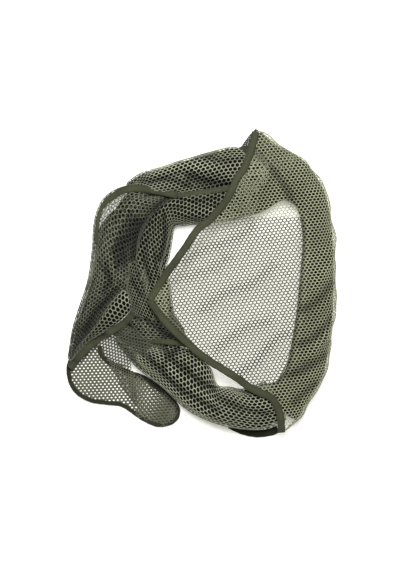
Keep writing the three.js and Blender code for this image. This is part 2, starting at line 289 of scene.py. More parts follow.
def net(name, place, low, high, keep=None, turn=0.0, row=PITCH_ROW, rows=PITCH_ROWS,
        hole=HOLE_SHARE, yarn=YARN, tone=None):
    """Knitted net on a surface. Holes lie on a triangular grid in cloth millimetres; each
    cell is a ring from the ridge it shares with its neighbours in to its hole, above and
    below, so every strand is a lens in section. Open sides are closed by a thin wall."""
    (u0, v0), (u1, v1) = low, high
    ca, sa = math.cos(turn), math.sin(turn)
    reach = math.hypot(u1 - u0, v1 - v0)
    n, m = int(reach / row) + 3, int(reach / rows) + 3
    j, i = np.meshgrid(np.arange(-m, m + 1), np.arange(-n - m, n + m + 1), indexing="ij")
    i, j = i.ravel(), j.ravel()

    def cloth(xx, yy):
        a, b = xx * row / 2, yy * rows / 3
        return (u0 + u1) / 2 + ca * a - sa * b, (v0 + v1) / 2 + sa * a + ca * b

    cx, cy = cloth(2 * i + j, 3 * j)
    inside = (cx > u0) & (cx < u1) & (cy > v0) & (cy < v1)
    if keep is not None:
        inside[inside] = keep(cx[inside], cy[inside])
    i, j = i[inside], j[inside]
    cells = len(i)
    grid = np.stack([2 * i + j, 3 * j], 1)
    ring = (grid[:, None, :] + CORNERS[None]).reshape(-1, 2)
    corner, back = np.unique(ring, axis=0, return_inverse=True)
    back = back.reshape(cells, 6)
    cu, cv = cloth(corner[:, 0], corner[:, 1])
    mid = np.repeat(grid, 6, 0)
    if callable(hole):
        hole = np.repeat(hole(cx[inside], cy[inside]), 6)
    iu, iv = cloth(*(mid + np.broadcast_to(hole, cells * 6)[:, None] * (ring - mid)).T)
    d = 0.4
    base = place(cu, cv)
    du = place(cu + d, cv) - place(cu - d, cv)
    dv = place(cu, cv + d) - place(cu, cv - d)
    normal = np.cross(du, dv)
    normal /= np.maximum(np.linalg.norm(normal, axis=1), 1e-9)[:, None]
    k = len(base)
    verts = np.vstack([base + normal * yarn, base - normal * yarn, place(iu, iv)])
    inner = 2 * k + np.arange(cells * 6).reshape(cells, 6)
    after = np.roll(np.arange(6), -1)
    top = np.stack([back, back[:, after], inner[:, after], inner], 2).reshape(-1, 4)
    low_ = np.stack([inner, inner[:, after], k + back[:, after], k + back], 2).reshape(-1, 4)
    edges = np.stack([back, back[:, after]], 2).reshape(-1, 2)
    key = np.sort(edges, 1)
    _, first, count = np.unique(key, axis=0, return_index=True, return_counts=True)
    rim = edges[first[count == 1]]
    wall = np.stack([rim[:, 1], rim[:, 0], k + rim[:, 0], k + rim[:, 1]], 1)
    uv = np.vstack([np.stack([cu, cv], 1)] * 2 + [np.stack([iu, iv], 1)])
    made = object_of(name, verts, np.vstack([top, low_, wall]), uv)
    # This attribute carries painted shade: 1 leaves the yarn its own colour, and lower values
    # darken it.
    shade = made.data.attributes.new("tone", "FLOAT", "POINT")
    shade.data.foreach_set("value", np.ones(len(verts)) if tone is None else tone(*verts.T))
    spokes = base[back] - base[back].mean(1)[:, None]
    area = np.linalg.norm(np.cross(spokes, np.roll(spokes, -1, 1)), axis=2).sum() / 2
    made["cloth_area"] = float(area)
    stretch = math.sqrt(area / (cells * row * rows))
    made["cloth_length"] = float(max(np.ptp(cu), np.ptp(cv)) * stretch)
    made["yarn_share"] = float(np.mean(1 - np.broadcast_to(hole, cells * 6) ** 2))
    return made


def grid_shell(name, rings, uv):
    """Closed tube through rings of points (count, around, 3), with its ends shut by fans."""
    n, m = rings.shape[:2]
    a = np.arange(m)
    quads = [np.stack([r * m + a, r * m + (a + 1) % m, (r + 1) * m + (a + 1) % m,
                       (r + 1) * m + a], 1) for r in range(n - 1)]
    verts = np.vstack([rings.reshape(-1, 3), rings[0].mean(0), rings[-1].mean(0)])
    fans = ([(n * m, int((q + 1) % m), int(q)) for q in a]
            + [(n * m + 1, int((n - 1) * m + q), int((n - 1) * m + (q + 1) % m)) for q in a])
    uv = np.vstack([uv.reshape(-1, 2), uv[0, 0], uv[-1, 0]])
    faces = np.vstack(quads).tolist() + fans
    return object_of(name, verts, faces, uv)


def turned_out(obj):
    """Turns a closed piece's faces outwards by the sign of its volume."""
    me = obj.data
    n = len(me.vertices)
    co = np.empty(n * 3)
    me.vertices.foreach_get("co", co)
    co = co.reshape(-1, 3)
    me.calc_loop_triangles()
    t = np.empty(len(me.loop_triangles) * 3, int)
    me.loop_triangles.foreach_get("vertices", t)
    t = t.reshape(-1, 3)
    if (co[t[:, 0]] * np.cross(co[t[:, 1]], co[t[:, 2]])).sum() < 0:
        me.flip_normals()
    return obj


# ---- rolls ----
class Roll:
    """Rolled cloth between two plan edges. Its section is an ellipse flattened on the
    table; angle 0 is the first edge, a quarter turn the crown, a half turn the second."""

    def __init__(self, first, second, height, pleats=(), relief=None, lo=0.0, hi=1.0):
        self.first, self.second, self.height, self.pleats = first, second, height, pleats
        self.relief = relief
        self.length, self.share = length_map(lambda t: (first(t) + second(t)) / 2, lo, hi)

    def section(self, t):
        a, b = self.first(t), self.second(t)
        across = b - a
        wide = np.linalg.norm(across, axis=1)
        return (a + b) / 2, across / wide[:, None], wide / 2, self.height(t)

    def round_length(self, t):
        _, _, half, high = self.section(t)
        b = high * SECTION_HALF
        return math.pi * (3 * (half + b) - np.sqrt((3 * half + b) * (half + 3 * b)))

    def at(self, u, angle, shrink=1.0, depth=0.0):
        mid, across, half, high = self.section(self.share(u))
        out = wavy(u, angle, self.pleats) - depth
        r = half * shrink + out
        x = mid + across * (-np.cos(angle) * r)[:, None]
        z = high * SECTION_MID + (high * SECTION_HALF * shrink + out) * np.sin(angle)
        if self.relief:
            z = z + self.relief(x[:, 0], x[:, 1]) * np.clip(np.sin(angle) * 1.5, 0, 1)
        return np.column_stack([x, np.maximum(z, TABLE_GAP + depth)])

    def cloth(self, start, depth=0.0):
        """Place function: u along the roll, v round it from the start angle. The cloth closes
        in over the last 5 mm at each end."""
        whole = float(self.round_length(np.array([0.5]))[0])

        def place(u, v):
            u = np.clip(u, 0, self.length)
            end = np.sqrt(np.clip(np.minimum(u, self.length - u) / 5, 0.15, 1))
            return self.at(u, start + v / whole * 2 * math.pi, end, depth)

        return place, whole


def roll_net(name, roll, start=-1.2, turns=1.12, depth=0.0, **options):
    """A roll's net, with painted shade on its yarn: darker low on its sides and down in its folds.
    """
    place, whole = roll.cloth(start, depth=depth)

    def tone(x, y, z):
        fold = roll.relief(x, y) if roll.relief else 0 * x
        # Painted shade: darker low on the roll's sides and down in its folds.
        height = 0.3 + 0.7 * smooth(z, 8, 33)
        return np.clip(height * (0.88 + np.clip(fold / 8, -0.62, 0.3)), 0.05, 1)

    options.setdefault("tone", tone)
    return net(name, place, (1.0, 0.0), (roll.length - 1.0, whole * turns), **options)


def roll_core(name, roll, shrink=0.985, ends=(2, 2), around=48, step=2.5, low=-0.5 * math.pi,
              depth=PACK_DEPTH):
    """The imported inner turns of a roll, as one closed soft body."""
    n = max(8, int((roll.length - ends[0] - ends[1]) / step))
    u = np.linspace(ends[0], roll.length - ends[1], n)
    angle = np.linspace(0, 2 * math.pi, around, endpoint=False) + low
    uu, aa = np.meshgrid(u, angle, indexing="ij")
    to_end = np.minimum(uu - ends[0], roll.length - ends[1] - uu) + 1
    taper = np.sqrt(np.clip(to_end / 4, 0.1, 1))
    pts = roll.at(uu.ravel(), aa.ravel(), shrink * taper.ravel(), depth)
    girth = float(roll.round_length(np.array([0.5]))[0])
    uv = np.stack([uu, (aa - low) / (2 * math.pi) * girth], 2)
    return turned_out(grid_shell(name, pts.reshape(n, around, 3), uv))


# ---- tape ----
def tape(name, curve, z, lo=0.0, hi=1.0, width=TAPE, thick=2.0, step=1.6):
    """Tape folded over an edge: a flat-sided lens in section, swept along a plan curve.
    z gives its middle height from the plan point and the run share."""
    total, share = length_map(curve, lo, hi)
    n = max(6, int(total / step))
    s = np.linspace(0, total, n)
    t = share(s)
    p = curve(t)
    ahead = np.gradient(p, axis=0)
    ahead /= np.linalg.norm(ahead, axis=1)[:, None]
    left = np.stack([-ahead[:, 1], ahead[:, 0]], 1)
    ripple = 0.12 * np.sin(s * 2 * math.pi / 23 + 1) + 0.1 * np.sin(s * 2 * math.pi / 9.4)
    section = np.array([(-1, 0), (-0.96, 0.62), (-0.8, 0.95), (-0.62, 0.72), (-0.5, 0.9),
                        (0, 1.05), (0.6, 1), (0.9, 0.85), (1, 0.35), (1, -0.35), (0.9, -0.85),
                        (0.6, -1), (0, -1.05), (-0.5, -0.9), (-0.62, -0.72), (-0.8, -0.95),
                        (-0.96, -0.62)])
    m = len(section)
    wide = width(t) if callable(width) else np.full(n, float(width))
    side = wide[:, None] * section[None, :, 0] / 2
    up = section[:, 1] * thick / 2
    plan = p[:, None, :] + left[:, None, :] * (side + ripple[:, None])[:, :, None]
    heights = z(plan[:, :, 0].ravel(), plan[:, :, 1].ravel(), np.repeat(t, m)).reshape(n, m)
    pts = np.dstack([plan, heights + up[None]])
    uv = np.stack([np.repeat(s[:, None], m, 1), side], 2)
    made = turned_out(grid_shell(name, pts, uv))
    row = -0.31 * wide + ripple
    stitch = stitches(name + "_stitches", s, p, left, z, t, thick, row)
    return made, stitch


def stitches(name, s, p, left, z, t, thick, row):
    """A row of lock stitches near the tape's inner edge: short raised lozenges."""
    total = s[-1]
    n = int(total / 2.9)
    mid = (np.arange(n) + 0.5) * total / n
    verts, faces = [], []
    along = np.array([-1.05, -0.6, 0.6, 1.05])
    for k, c in enumerate(mid):
        ss = np.clip(c + along, 0, total)
        x = np.interp(ss, s, p[:, 0])
        y = np.interp(ss, s, p[:, 1])
        lx = np.interp(ss, s, left[:, 0])
        ly = np.interp(ss, s, left[:, 1])
        tt = np.interp(ss, s, t)
        inset = np.interp(ss, s, row)
        base = len(verts)
        for q in range(4):
            slim = 0.26 if q in (1, 2) else 0.1
            rise = 0.26 if q in (1, 2) else 0.02
            for a, b in ((-slim, -0.12), (0, rise), (slim, -0.12)):
                off = inset[q] + a
                px, py = x[q] + lx[q] * off, y[q] + ly[q] * off
                h = z(np.array([px]), np.array([py]), np.array([tt[q]]))[0]
                verts.append((px, py, h + thick * 0.37 + b))
        for q in range(3):
            a = base + 3 * q
            faces += [(a, a + 3, a + 4, a + 1), (a + 1, a + 4, a + 5, a + 2),
                      (a + 2, a + 5, a + 3, a)]
        faces += [(base, base + 1, base + 2), (base + 9, base + 11, base + 10)]
    uv = np.array(verts)[:, :2]
    return turned_out(object_of(name, verts, faces, uv))


# ---- materials ----
class Field:
    """A value in a material: + - * / and a few functions add the nodes they need."""

    def __init__(self, tree, socket):
        self.tree, self.socket = tree, socket

    def _math(self, op, *others, clamp=False):
        node = self.tree.nodes.new("ShaderNodeMath")
        node.operation, node.use_clamp = op, clamp
        for k, other in enumerate((self, *others)):
            if isinstance(other, Field):
                self.tree.links.new(other.socket, node.inputs[k])
            else:
                node.inputs[k].default_value = other
        return Field(self.tree, node.outputs[0])

    def __add__(self, o):
        return self._math("ADD", o)

    __radd__ = __add__

    def __mul__(self, o):
        return self._math("MULTIPLY", o)

    __rmul__ = __mul__

    def __sub__(self, o):
        return self._math("SUBTRACT", o)

    def __rsub__(self, o):
        return self._math("MULTIPLY", -1.0) + o

    def clamp(self):
        return self._math("ADD", 0.0, clamp=True)

    def power(self, o):
        return self._math("POWER", o)


class Look:
    """One material: makes nodes by type, with their settings and socket values."""

    def __init__(self, name):
        self.material = bpy.data.materials.new(name)
        self.material.use_nodes = True
        self.tree = self.material.node_tree
        self.shader = self.tree.nodes["Principled BSDF"]

    def node(self, kind, outlet=0, settings=(), **inputs):
        node = self.tree.nodes.new(kind)
        for key, value in dict(settings).items():
            setattr(node, key, value)
        for key, value in inputs.items():
            numbered = key[0] == "i" and key[1:].isdigit()
            socket = node.inputs[int(key[1:]) if numbered else key]
            if isinstance(value, Field):
                self.tree.links.new(value.socket, socket)
            else:
                socket.default_value = value
        return Field(self.tree, node.outputs[outlet])

    def place(self):
        return self.node("ShaderNodeTexCoord", "Object")

    def cloth(self):
        return self.node("ShaderNodeUVMap", settings={"uv_map": "cloth"})

    def noise(self, where, scale, detail=3.0, rough=0.55):
        return self.node("ShaderNodeTexNoise", 0, Vector=where, Scale=scale, Detail=detail,
                         Roughness=rough)

    def mix(self, share, a, b):
        def rgba(c):
            return c if isinstance(c, Field) else (*c, 1.0)

        return self.node("ShaderNodeMix", 2, {"data_type": "RGBA"}, i0=share, i6=rgba(a),
                         i7=rgba(b))

    def spread(self, value, lo, hi):
        return ((value - lo) * (1.0 / (hi - lo))).clamp()

    def set(self, name, value):
        socket = self.shader.inputs[name]
        if isinstance(value, Field):
            self.tree.links.new(value.socket, socket)
        else:
            socket.default_value = value

    def bump(self, height, strength, distance):
        return self.node("ShaderNodeBump", Height=height, Strength=strength, Distance=distance)


def net_look(name, light, dark, wear, roughness=0.82, knots=1.0):
    """Knitted yarn: courses of tiny loops along the cloth, slow dye changes, fine fuzz, and painted
    shade read from a vertex attribute.
    """
    k = Look(name)
    where, cloth = k.place(), k.cloth()
    dye = k.spread(k.noise(where, 26.0, 4.0), 0.34, 0.68)
    fleck = k.spread(k.noise(where, 900.0, 2.0), 0.35, 0.7)
    fuzz = k.noise(where, 2600.0, 2.0)
    loops = k.node("ShaderNodeTexWave", 1, {"wave_type": "BANDS", "bands_direction": "Y"},
                   Vector=cloth, Scale=380.0, Distortion=2.5, Detail=1.0)
    base = k.mix(dye, dark, light)
    base = k.mix(fleck * 0.35, base, wear)
    base = k.mix((1.0 - loops) * 0.28 * knots, base, dark)
    # Painted shade: the vertex attribute darkens the yarn towards near-black.
    tone = k.node("ShaderNodeAttribute", "Fac", {"attribute_name": "tone"})
    base = k.mix(tone.clamp(), tuple(0.12 * c for c in dark), base)
    k.set("Base Color", base)
    k.set("Roughness", (roughness + 0.12 * fuzz).clamp())
    k.set("Specular IOR Level", 0.25)
    k.set("Sheen Weight", 0.15)
    k.set("Sheen Roughness", 0.5)
    k.set("Normal", k.bump(loops * 0.6 + fuzz * 0.4, 0.5, 0.0002))
    return k.material


def tape_look(name, light, dark):
    """Woven tape: fine twill ribs slantwise, a fold line near its inner edge, and both rims
    darkened as painted shade.
    """
    k = Look(name)
    where, cloth = k.place(), k.cloth()
    ribs = k.node("ShaderNodeTexWave", 1, {"wave_type": "BANDS", "bands_direction": "DIAGONAL"},
                  Vector=cloth, Scale=520.0, Distortion=0.6, Detail=1.0)
    warp = k.node("ShaderNodeTexWave", 1, {"wave_type": "BANDS", "bands_direction": "X"},
                  Vector=cloth, Scale=640.0, Distortion=0.8, Detail=1.0)
    dye = k.spread(k.noise(where, 40.0, 4.0), 0.32, 0.7)
    lint = k.spread(k.noise(where, 700.0, 3.0), 0.52, 0.75)
    base = k.mix(dye, dark, light)
    base = k.mix((1.0 - ribs) * 0.3, base, tuple(0.55 * c for c in dark))
    base = k.mix(lint * 0.3, base, tuple(1.7 * c for c in light))
    # Painted shade: both rims darkened where the tape rounds away from the light.
    side = k.node("ShaderNodeSeparateXYZ", "Y", Vector=cloth) * (1.0 / 0.0042)
    base = k.mix((side * side).power(1.5).clamp() * 0.6, base, tuple(0.4 * c for c in dark))
    k.set("Base Color", base)
    k.set("Roughness", 0.78 + 0.14 * warp)
    k.set("Specular IOR Level", 0.3)
    k.set("Sheen Weight", 0.1)
    k.set("Normal", k.bump(ribs * 0.6 + warp * 0.4, 0.55, 0.00018))
    return k.material


def core_look(name, light, dark):
    """Packed turns of the net, near-black as painted shade: rows of dark holes between dull
    strands.
    """
    k = Look(name)
    where, cloth = k.place(), k.cloth()
    holes = k.node("ShaderNodeTexVoronoi", 0, {"feature": "F1"}, Vector=cloth, Scale=250.0,
                   Randomness=0.35)
    hole = k.spread(holes, 0.25, 0.55)
    dye = k.spread(k.noise(where, 30.0, 4.0), 0.3, 0.7)
    base = k.mix(hole, dark, k.mix(dye, tuple(0.6 * c for c in light), light))
    k.set("Base Color", base)
    k.set("Roughness", 0.9 + 0.05 * dye)
    k.set("Specular IOR Level", 0.1)
    k.set("Normal", k.bump(hole, 0.6, 0.0006))
    return k.material


# One olive net in several copies: net_single and net_lit carry its lit colour, the darker copies
# are painted shade for the lays, the bend, the side roll, the tail and the inner turns, and the
# tape's shaded copy is painted shade too.
net_light = net_look("net_single", (0.43, 0.45, 0.28), (0.27, 0.285, 0.165), (0.55, 0.565, 0.37))
net_roll = net_look("net_lit", (0.4, 0.42, 0.295), (0.25, 0.265, 0.175), (0.52, 0.53, 0.39))
net_left = net_look("net_left", (0.205, 0.217, 0.145), (0.1, 0.106, 0.066), (0.34, 0.35, 0.25))
net_bend = net_look("net_bend", (0.35, 0.367, 0.255), (0.2, 0.212, 0.138), (0.48, 0.49, 0.36))
net_deep = net_look("net_deep", (0.028, 0.03, 0.018), (0.014, 0.015, 0.008), (0.05, 0.053, 0.034))
tape_lit = tape_look("edge_tape", (0.056, 0.06, 0.029), (0.033, 0.036, 0.017))
tape_shade = tape_look("edge_tape_shaded", (0.026, 0.028, 0.013), (0.014, 0.015, 0.007))
thread = tape_look("stitch_thread", (0.085, 0.09, 0.046), (0.055, 0.06, 0.03))
net_tail = net_look("net_tail", (0.12, 0.125, 0.08), (0.08, 0.083, 0.05), (0.18, 0.185, 0.125))
net_turn = net_look("net_turn", (0.075, 0.08, 0.05), (0.045, 0.048, 0.028), (0.12, 0.126, 0.085))
core_painted_shade = core_look("net_core", (0.006, 0.0066, 0.0034), (0.001, 0.0011, 0.0006))


def finish_piece(obj, material, body="ring", stands=(), slot=None):
    obj.data.materials.clear()
    obj.data.materials.append(material)
    if body:
        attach(obj, body)
    if stands:
        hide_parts(*stands)
    return obj


# ---- build ----
def inside_of(loop):
    def test(x, y):
        hit = np.zeros(len(x), bool)
        for (x0, y0), (x1, y1) in zip(loop, np.roll(loop, -1, 0)):
            if y0 == y1:
                continue
            cross = (y0 > y) != (y1 > y)
            hit ^= cross & (x < (x1 - x0) * (y - y0) / (y1 - y0) + x0)
        return hit
    return test


def even(h):
    return lambda t: np.full(len(np.atleast_1d(t)), float(h))


PI2 = 2 * math.pi
valley = [(-40, 104), (-63, 78), (-72, 62), (-78, 45), (-80, 30), (-77, 14)]
left_folds = Relief(
    ([(-77, 72), (-84, 56), (-95, 43), (-96, 30)], -13, 7.5), (valley, -8, 4),
    ([(-70, 102), (-91, 83), (-101, 66), (-107, 51), (-118, 29), (-132, 8)], 3.5, 6.5),
    ([(-108, 33), (-101, 12), (-91, 5), (-85, -2), (-76, -12)], 5, 3.2),
    ([(-88, 92), (-98, 76), (-110, 56)], -3, 2.6),
    ([(-100, -6), (-112, -18), (-126, -33), (-140, -56)], -5, 3.5),
    ([(-118, -6), (-130, -24), (-144, -48)], 2.5, 4),
    ([(-60, 108), (-80, 98), (-92, 90), (-104, 74)], -3, 1.8),
    ([(-76, 96), (-90, 76), (-97, 62)], -3.5, 1.8), ([(-122, 30), (-114, 14), (-106, -2)], -3, 1.8),
    ([(-112, 20), (-108, 6), (-116, -8)], -5, 4),
    ([(-84, 104), (-104, 88), (-114, 66), (-120, 44)], -3.5, 1.6),
    ([(-82, 88), (-92, 66), (-104, 44), (-112, 26)], -3.5, 1.6),
    ([(-96, 52), (-92, 36), (-100, 20), (-98, 4)], -4, 1.7),
    ([(-112, 44), (-122, 18), (-132, -8), (-142, -34)], -3.5, 1.6),
    ([(-86, 14), (-94, 2), (-108, -10), (-120, -28)], -3.5, 1.7))
bend_folds = Relief(
    (valley, -8, 4), ([(-43, 84), (-42, 62), (-44, 46), (-49, 30)], -7, 2.8),
    ([(-87, 32), (-82, 19), (-75, 3), (-66, -11)], 3, 3),
    ([(-58, 74), (-64, 50), (-62, 24), (-58, 4)], -3.5, 3),
    ([(-52, 92), (-54, 70), (-56, 46), (-52, 20)], -3, 1.8),
    ([(-68, 40), (-64, 20), (-60, 0)], -3, 1.8),
    ([(-16, 96), (4, 90), (24, 88)], 3, 4), ([(-24, 102), (-6, 100), (20, 104)], -4, 3),
    ([(-30, 84), (-14, 80), (10, 78)], -3, 3),
    ([(-66, 84), (-70, 60), (-68, 30), (-62, 6)], -3.5, 1.6),
    ([(-40, 100), (-20, 106), (12, 110), (40, 112)], -3.5, 1.6),
    ([(-36, 92), (-10, 92), (20, 96), (48, 98)], -3.5, 1.6),
    ([(-48, 78), (-50, 54), (-54, 30), (-50, 6)], -3.5, 1.6))
far_folds = Relief(
    ([(-12, 129), (4, 124), (20, 121), (38, 118)], -10, 5),
    ([(-58, 131), (-26, 140), (2, 138), (34, 131)], 3, 6),
    ([(-70, 124), (-40, 126), (-14, 120)], -4, 3.5),
    ([(-60, 122), (-30, 132), (0, 134), (30, 128)], -3, 1.8),
    ([(-20, 118), (10, 116), (44, 120)], -3, 2),
    ([(8, 152), (30, 148), (52, 150)], -3.5, 4), ([(-30, 148), (0, 152), (20, 158)], -2.5, 3))
near_folds = Relief(
    ([(-84, -76), (-60, -106), (-28, -132), (8, -158)], 3, 4),
    ([(-70, -78), (-50, -100), (-20, -126), (20, -150)], -5, 3.5),
    ([(-56, -76), (-40, -94), (-12, -122), (14, -136)], 3.4, 4),
    ([(-46, -74), (-30, -92), (-4, -112), (16, -124)], -6, 3.5),
    ([(-28, -78), (-40, -88), (-44, -100)], -6, 4),
    ([(-76, -80), (-56, -92), (-36, -114), (-8, -144), (24, -162)], -3, 1.8),
    ([(-20, -92), (-6, -112), (16, -134), (50, -152)], -3, 1.8),
    ([(30, -126), (52, -136), (78, -142)], 2.6, 4), ([(20, -132), (48, -146), (80, -154)], -4, 3.2),
    ([(0, -98), (-10, -110), (-16, -124)], 3, 3))
cross_folds = Relief(
    ([(-82, -36), (-62, -44), (-36, -62)], -5, 3.5), ([(-72, -34), (-66, -48), (-62, -64)], 3.4, 3),
    ([(-56, -32), (-50, -46), (-44, -64)], -4, 3), ([(-88, -46), (-80, -54), (-76, -64)], -5, 4))
knot_folds = Relief(
    ([(-92, 6), (-84, -3), (-76, -12), (-68, -24), (-64, -34)], 4.5, 2.8),
    ([(-87, 30), (-80, 17), (-74, 3), (-66, -11), (-60, -24)], 3.5, 2.6),
    ([(-84, 12), (-78, 0), (-70, -14)], -4, 2.4), ([(-72, 12), (-66, -4), (-60, -16)], -4, 2.6))


def side_edge(t):
    """The side roll's outer edge: a little inside the face cloth where that has turned down."""
    y = right_outer(t)[:, 1]
    start, round_, _, _ = face_run(y)
    return np.stack([start + round_ - 3.2, y], 1)


side_roll = Roll(side_edge, beside(right_inner, -1), even(RING - 3),
                 [(0.6, 0.004, 4 / PI2, 0.3), (0.4, 0.009, 7 / PI2, 1.0)])
far_roll = Roll(top_outer, top_inner, lambda t: RING * (1 - 0.5 * smooth(t, 0.75, 1)),
                [(1.3, 0.006, 4 / PI2, 0.5), (0.8, -0.008, 6 / PI2, 2.0), (0.5, 0.02, 3 / PI2, 0)],
                far_folds)
bend_roll = Roll(beside(inner_outer, -4), inner_inner, even(41),
                 [(1.4, 0.003, 5 / PI2, 1.3), (0.9, 0.007, 8 / PI2, 0.4)], bend_folds)
near_roll = Roll(lower_outer, lower_inner, lambda t: RING * (1 - 0.6 * smooth(t, 0.7, 1)),
                 [(1.2, -0.005, 4 / PI2, 0.9), (0.7, 0.01, 7 / PI2, 2.0)], near_folds)
left_pleats = [(1.8, 0.003, 4 / PI2, 0.2), (0.9, 0.011, 7 / PI2, 1.0)]


def left_height(t):
    return 37 * (1 - 0.72 * smooth(t, 0.5, 1))


left_roll = Roll(left_outer, beside(left_inner, 6), left_height, left_pleats, left_folds)
left_stuffing = Roll(
    beside(left_outer, lambda t: 0.4 + 15 * bump(t, 0.3, 0.1) + 0.8 * smooth(t, 0.5, 0.65)),
    beside(left_inner, 6), left_height, left_pleats, left_folds)
cross_roll = Roll(spline([(-24, -42), (-54, -26), (-76, -26), (-104, -54)]),
                  spline([(-13, -71), (-48, -68), (-78, -66), (-108, -61)]),
                  lambda t: 38 - 20 * smooth(t, 0.5, 1), [(1.0, 0.01, 4 / PI2, 0.2)], cross_folds)
strip_roll = Roll(strip_left, lambda t: diagonal(t * 0.96) + np.array([-2.6, 2.6]),
                  lambda t: 42 - 33 * np.sqrt(t), [(0.9, 0.008, 5 / PI2, 0.2)])
knot_roll = Roll(spline([(-89, 30), (-92, 8), (-89, -6), (-84, -22), (-80, -40)]),
                 spline([(-60, 32), (-57, 14), (-54, -4), (-51, -24), (-46, -46)]),
                 lambda t: 42 - 12 * (1 - smooth(t, 0.0, 0.45)),
                 [(1.0, 0.02, 3 / PI2, 0.2), (0.6, 0.05, 5 / PI2, 0.2)], knot_folds)
peak_roll = Roll(spline([(67, 189), (81, 178.5), (97, 166), (120, 152)]),
                 spline([(58, 173), (68, 158), (78, 140), (100, 118)]),
                 even(40), [(0.8, 0.02, 3 / PI2, 0.2)])

pieces = {}


def add(name, obj, material, **where):
    pieces[name] = finish_piece(obj, material, **where)


def resting(curve, rolls, rise=0.6, least=3.0, reach=2.5):
    """Height of a tape laid on rolls: over their tops, and eased so that it bridges folds."""
    t = np.linspace(0, 1, 160)
    p = curve(t)
    top = np.full(len(t), least)
    for roll in rolls:
        mid, across, half, high = roll.section(np.linspace(0, 1, 300))
        near = np.argmin(((p[:, None, :] - mid[None]) ** 2).sum(2), 1)
        d = ((p - mid[near]) * across[near]).sum(1) / half[near]
        z = high[near] * (SECTION_MID + SECTION_HALF * np.sqrt(np.clip(1 - d**2, 0.02, 1)))
        if roll.relief:
            z = z + roll.relief(p[:, 0], p[:, 1]) * np.sqrt(np.clip(1 - d**2, 0, 1))
        top = np.maximum(top, np.where(np.abs(d) < 1.03, z + rise, least))
    s = np.concatenate([[0], np.cumsum(np.linalg.norm(np.diff(p, axis=0), axis=1))])
    gap = np.abs(s[:, None] - s[None])
    high = np.where(gap < reach, top[None], 0).max(1)
    weight = np.exp(-((gap / reach) ** 2))
    eased = (weight * high[None]).sum(1) / weight.sum(1)
    return lambda x, y, run: np.interp(run, t, eased)


def add_roll(label, roll, stands=(), slot=None, material=None, stuffing=None, second=0.0,
             start=-1.2, turns=1.12, turn=0.0, hole=0.79, row=ROLL_ROW, rows=ROLL_ROWS,
             inset=PACK_DEPTH):
    """A roll's outer net, its packed inside and, where it shows, the turn just below."""
    add(label + "_net", roll_net(label + "_net", roll, start, turns, turn=turn, hole=hole, row=row,
                                   rows=rows),
        material or net_roll, stands=stands, slot=slot)
    # The packed inside is near-black and the turn below is a dark copy of the net colour: painted
    # shade.
    add(label + "_core", roll_core(label + "_core", stuffing or roll, depth=inset + second), core_painted_shade)
    if second:
        add(label + "_turn_net", roll_net(label + "_turn_net", roll, start, turns, depth=second,
                                          turn=turn + 0.4, hole=hole), net_turn)


# Dark copies of the net colour on the side roll, the bend and the lays to the left are painted
# shade.
add_roll("side_roll", side_roll, ["right_roll"], "net_deep", net_deep, inset=0.7)
add_roll("far_roll", far_roll, ["top_roll"], "net_lit", turn=0.1)
add_roll("bend_roll", bend_roll, ["inner_roll"], "net_lit", net_bend, turn=0.5, hole=0.83)
add_roll("near_roll", near_roll, ["lower_roll"], "net_lit", turn=0.2, row=5.8, rows=4.05)
add_roll("left_lay", left_roll, ["left_lay"], "net_deep", net_left, stuffing=left_stuffing,
         second=2.0, start=-0.3, turns=0.62, turn=0.3, hole=0.8)
add_roll("cross_lay", cross_roll, ["cross_lay"], "net_deep", net_left, second=2.0)
add_roll("knot", knot_roll, ["knot"], "net_lit", net_left, start=-0.2, turns=0.58, turn=0.3,
         hole=0.8, row=4.9, rows=3.4)
add_roll("strip", strip_roll, ["knot_strip"], "net_single", start=-0.3, turns=0.62)
add_roll("peak_roll", peak_roll, material=net_left)

# A single lay bridges the corner between the diagonal tape, the crossing and the tail.
bridge_in = inside_of(np.array([(-128, -76), (-110, -56), (-92, -48), (-40, -66), (-46, -100),
                                (-76, -97), (-83, -91), (-85, -103), (-98, -98), (-110, -92),
                                (-119, -85)], float))


def bridge_place(x, y):
    z = 5 + 21 * smooth(x, -124, -78) + 0.8 * np.sin(x / 5 + y / 9) - 3 * smooth(-y, 80, 100)
    return np.stack([x, y, z], 1)


# The bridge wears a dark copy of the net colour: painted shade.
add("bridge_net", net("bridge_net", bridge_place, (-129, -104), (-38, -46), keep=bridge_in,
                      turn=0.7, row=4.4, rows=3.1, hole=0.56), net_turn)

# The face cloth is one piece from its taped edge over the fold to the hem of its outer side.
edge_pts = np.vstack([face_upper(np.linspace(0, 1, 200)), face_lower(np.linspace(0, 1, 200))])
edge_order = np.argsort(-edge_pts[:, 1])
ey, ex = edge_pts[edge_order][::-1, 1], edge_pts[edge_order][::-1, 0]


def face_keep(p, q):
    left = np.interp(q, ey, ex)
    start, _, _, arc = face_run(q)
    return (p > left + 0.5) & (p < start + 1.42 * arc) & (q < 183.5) & (q > -176)


face_waves = Relief(
    ([(-20, 28), (10, 44), (40, 54), (62, 70)], -1, 5), ([(-30, 6), (6, 16), (34, 34)], -0.8, 6),
    ([(2, -30), (30, -10), (62, 2), (86, 22)], -1, 6), ([(20, -76), (52, -52), (80, -44)], -1, 6),
    ([(44, -106), (66, -92), (88, -66), (104, -58)], -1.6, 5),
    ([(20, -56), (48, -30), (70, -24)], 0.5, 6))
right_run = right_inner(np.linspace(0, 1, 200))


def past_opening(x, y):
    """How far a place lies outside the ring's opening, in millimetres; below zero inside it."""
    right = x - np.interp(-y, -right_run[:, 1], right_run[:, 0])
    far = y - np.interp(x, [-60, 4, 30, 51, 77, 100], [73, 74, 76, 81.6, 91, 104])
    near = np.interp(x, [-30, -4, 13, 21, 54, 84], [-72, -82, -99, -119, -124, -117]) - y
    return np.maximum(np.maximum(right, far), np.maximum(near, -37 - x))


